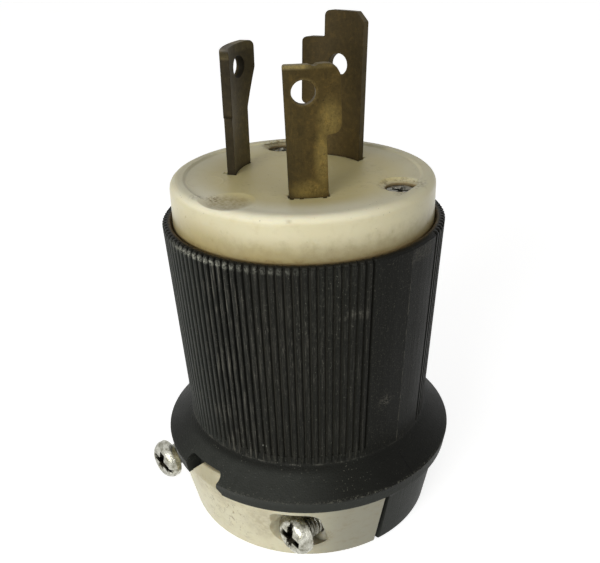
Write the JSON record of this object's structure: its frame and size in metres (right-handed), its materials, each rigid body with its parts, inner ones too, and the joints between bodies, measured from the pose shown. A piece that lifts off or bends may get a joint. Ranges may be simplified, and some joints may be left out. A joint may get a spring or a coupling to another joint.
{
  "type": "locking power plug",
  "caption": "Twist-lock power plug: hooked curved blades on a cream nylon nose, ribbed black housing with a flange, and a screwed cord clamp.",
  "frame": {"origin": "on the plug's axis, at the mouth of the cord clamp, in the plane the plug stands on", "axes": "+Z along the plug's axis towards the blades; the cord clamp's loose jaw and its screw heads are on the -Y side; the smooth panels of the grip face +X and -X"},
  "size_m": [0.0572, 0.0569, 0.0943],
  "materials": {
    "black_nylon": "satin moulded black nylon, scuffed on the ribs",
    "cream_nylon": "aged cream nylon, semi-gloss, dusty in the corners",
    "blade_brass": "tarnished brown brass",
    "terminal_brass": "clean brass",
    "zinc_steel": "zinc-plated steel",
    "green_steel": "green-dyed steel, the usual mark of a ground terminal"
  },
  "bodies": {
    "root": {"housing": "black_nylon", "clamp_jaw": "cream_nylon", "front_body": "cream_nylon", "rear_body": "cream_nylon", "line_blade_1": "blade_brass", "line_blade_2": "blade_brass", "ground_blade": "blade_brass", "line_terminal_screw_1": "zinc_steel", "line_terminal_screw_2": "zinc_steel", "ground_terminal_screw": "green_steel", "line_clamp_plate_1": "terminal_brass", "line_clamp_plate_2": "terminal_brass", "ground_clamp_plate": "terminal_brass", "assembly_screw_1": "zinc_steel", "assembly_screw_2": "zinc_steel", "assembly_insert_1": "terminal_brass", "assembly_insert_2": "terminal_brass", "cord_clamp_screw_1": "zinc_steel", "cord_clamp_screw_2": "zinc_steel", "cord_clamp_nut_1": "zinc_steel", "cord_clamp_nut_2": "zinc_steel"}
  },
  "joints": []
}
